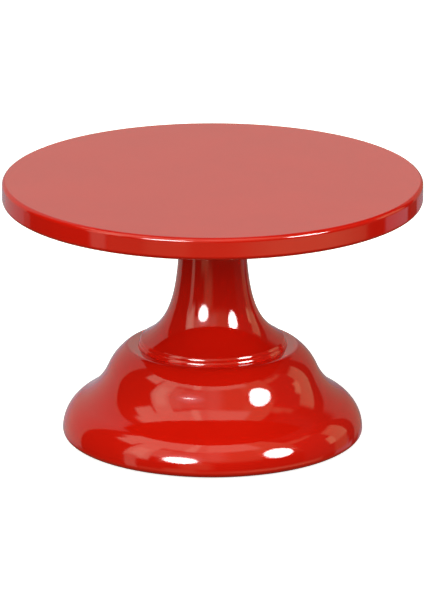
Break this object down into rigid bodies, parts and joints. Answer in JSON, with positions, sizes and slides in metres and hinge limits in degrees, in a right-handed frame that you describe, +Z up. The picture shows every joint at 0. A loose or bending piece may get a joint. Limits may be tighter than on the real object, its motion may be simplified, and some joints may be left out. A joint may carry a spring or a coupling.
{
  "type": "cake turntable",
  "caption": "Round cake turntable: a flat pan-edged steel plate that spins on a ball-bearing spindle inside a flared stem on a wide ogee base, all in gloss red enamel.",
  "frame": {"origin": "on the table, under the centre of the base, on the spindle's axis", "axes": "+Z up along the spindle; the part is round, so X and Y are alike, and the usual view looks along +Y"},
  "size_m": [0.3, 0.3, 0.19],
  "materials": {
    "red_enamel": "high gloss stoved enamel over pressed steel",
    "zinc_plated_steel": "bright zinc plate over turned steel",
    "bearing_steel": "ground and polished",
    "spindle_steel": "ground bar",
    "rubber": "satin black",
    "seal_rubber": "satin black",
    "black_plastic": "fine-grained black polyethylene",
    "cage_nylon": "natural nylon",
    "spring_steel": "phosphated spring steel",
    "black_screws": "black oxide"
  },
  "bodies": {
    "pedestal": {"base_shell": "red_enamel", "stem_shell": "red_enamel", "foot_ring": "rubber", "bearing_housing": "zinc_plated_steel", "dust_cap": "black_plastic", "clamp_plate": "zinc_plated_steel", "lock_washer": "spring_steel", "lock_nut": "zinc_plated_steel", "bearing_circlip": "spring_steel", "outer_spacer": "spindle_steel", "upper_bearing_outer_ring": "bearing_steel", "lower_bearing_outer_ring": "bearing_steel", "upper_bearing_seals": "seal_rubber", "lower_bearing_seals": "seal_rubber"},
    "turntable": {"plate": "red_enamel", "stiffener_disc": "red_enamel", "plate_studs": "zinc_plated_steel", "hub": "zinc_plated_steel", "hub_washers": "zinc_plated_steel", "hub_nuts": "zinc_plated_steel", "hub_grub_screws": "black_screws", "spindle": "spindle_steel", "inner_spacer": "spindle_steel", "end_washer": "zinc_plated_steel", "end_screw": "zinc_plated_steel", "upper_bearing_inner_ring": "bearing_steel", "lower_bearing_inner_ring": "bearing_steel"},
    "upper_cage": {"upper_bearing_cage": "cage_nylon", "upper_bearing_balls": "bearing_steel"},
    "lower_cage": {"lower_bearing_cage": "cage_nylon", "lower_bearing_balls": "bearing_steel"}
  },
  "joints": [
    {"name": "plate_spin", "type": "hinge", "parent": "pedestal", "child": "turntable", "pos_m": [0, 0, 0.1665], "axis": [0, 0, 1], "continuous": true},
    {"name": "upper_cage_spin", "type": "hinge", "parent": "pedestal", "child": "upper_cage", "pos_m": [0, 0, 0.1665], "axis": [0, 0, 1], "continuous": true},
    {"name": "lower_cage_spin", "type": "hinge", "parent": "pedestal", "child": "lower_cage", "pos_m": [0, 0, 0.1025], "axis": [0, 0, 1], "continuous": true}
  ],
  "couplings": [
    {"joint": "upper_cage_spin", "follows": "plate_spin", "ratio": 0.40842},
    {"joint": "lower_cage_spin", "follows": "plate_spin", "ratio": 0.40842}
  ]
}
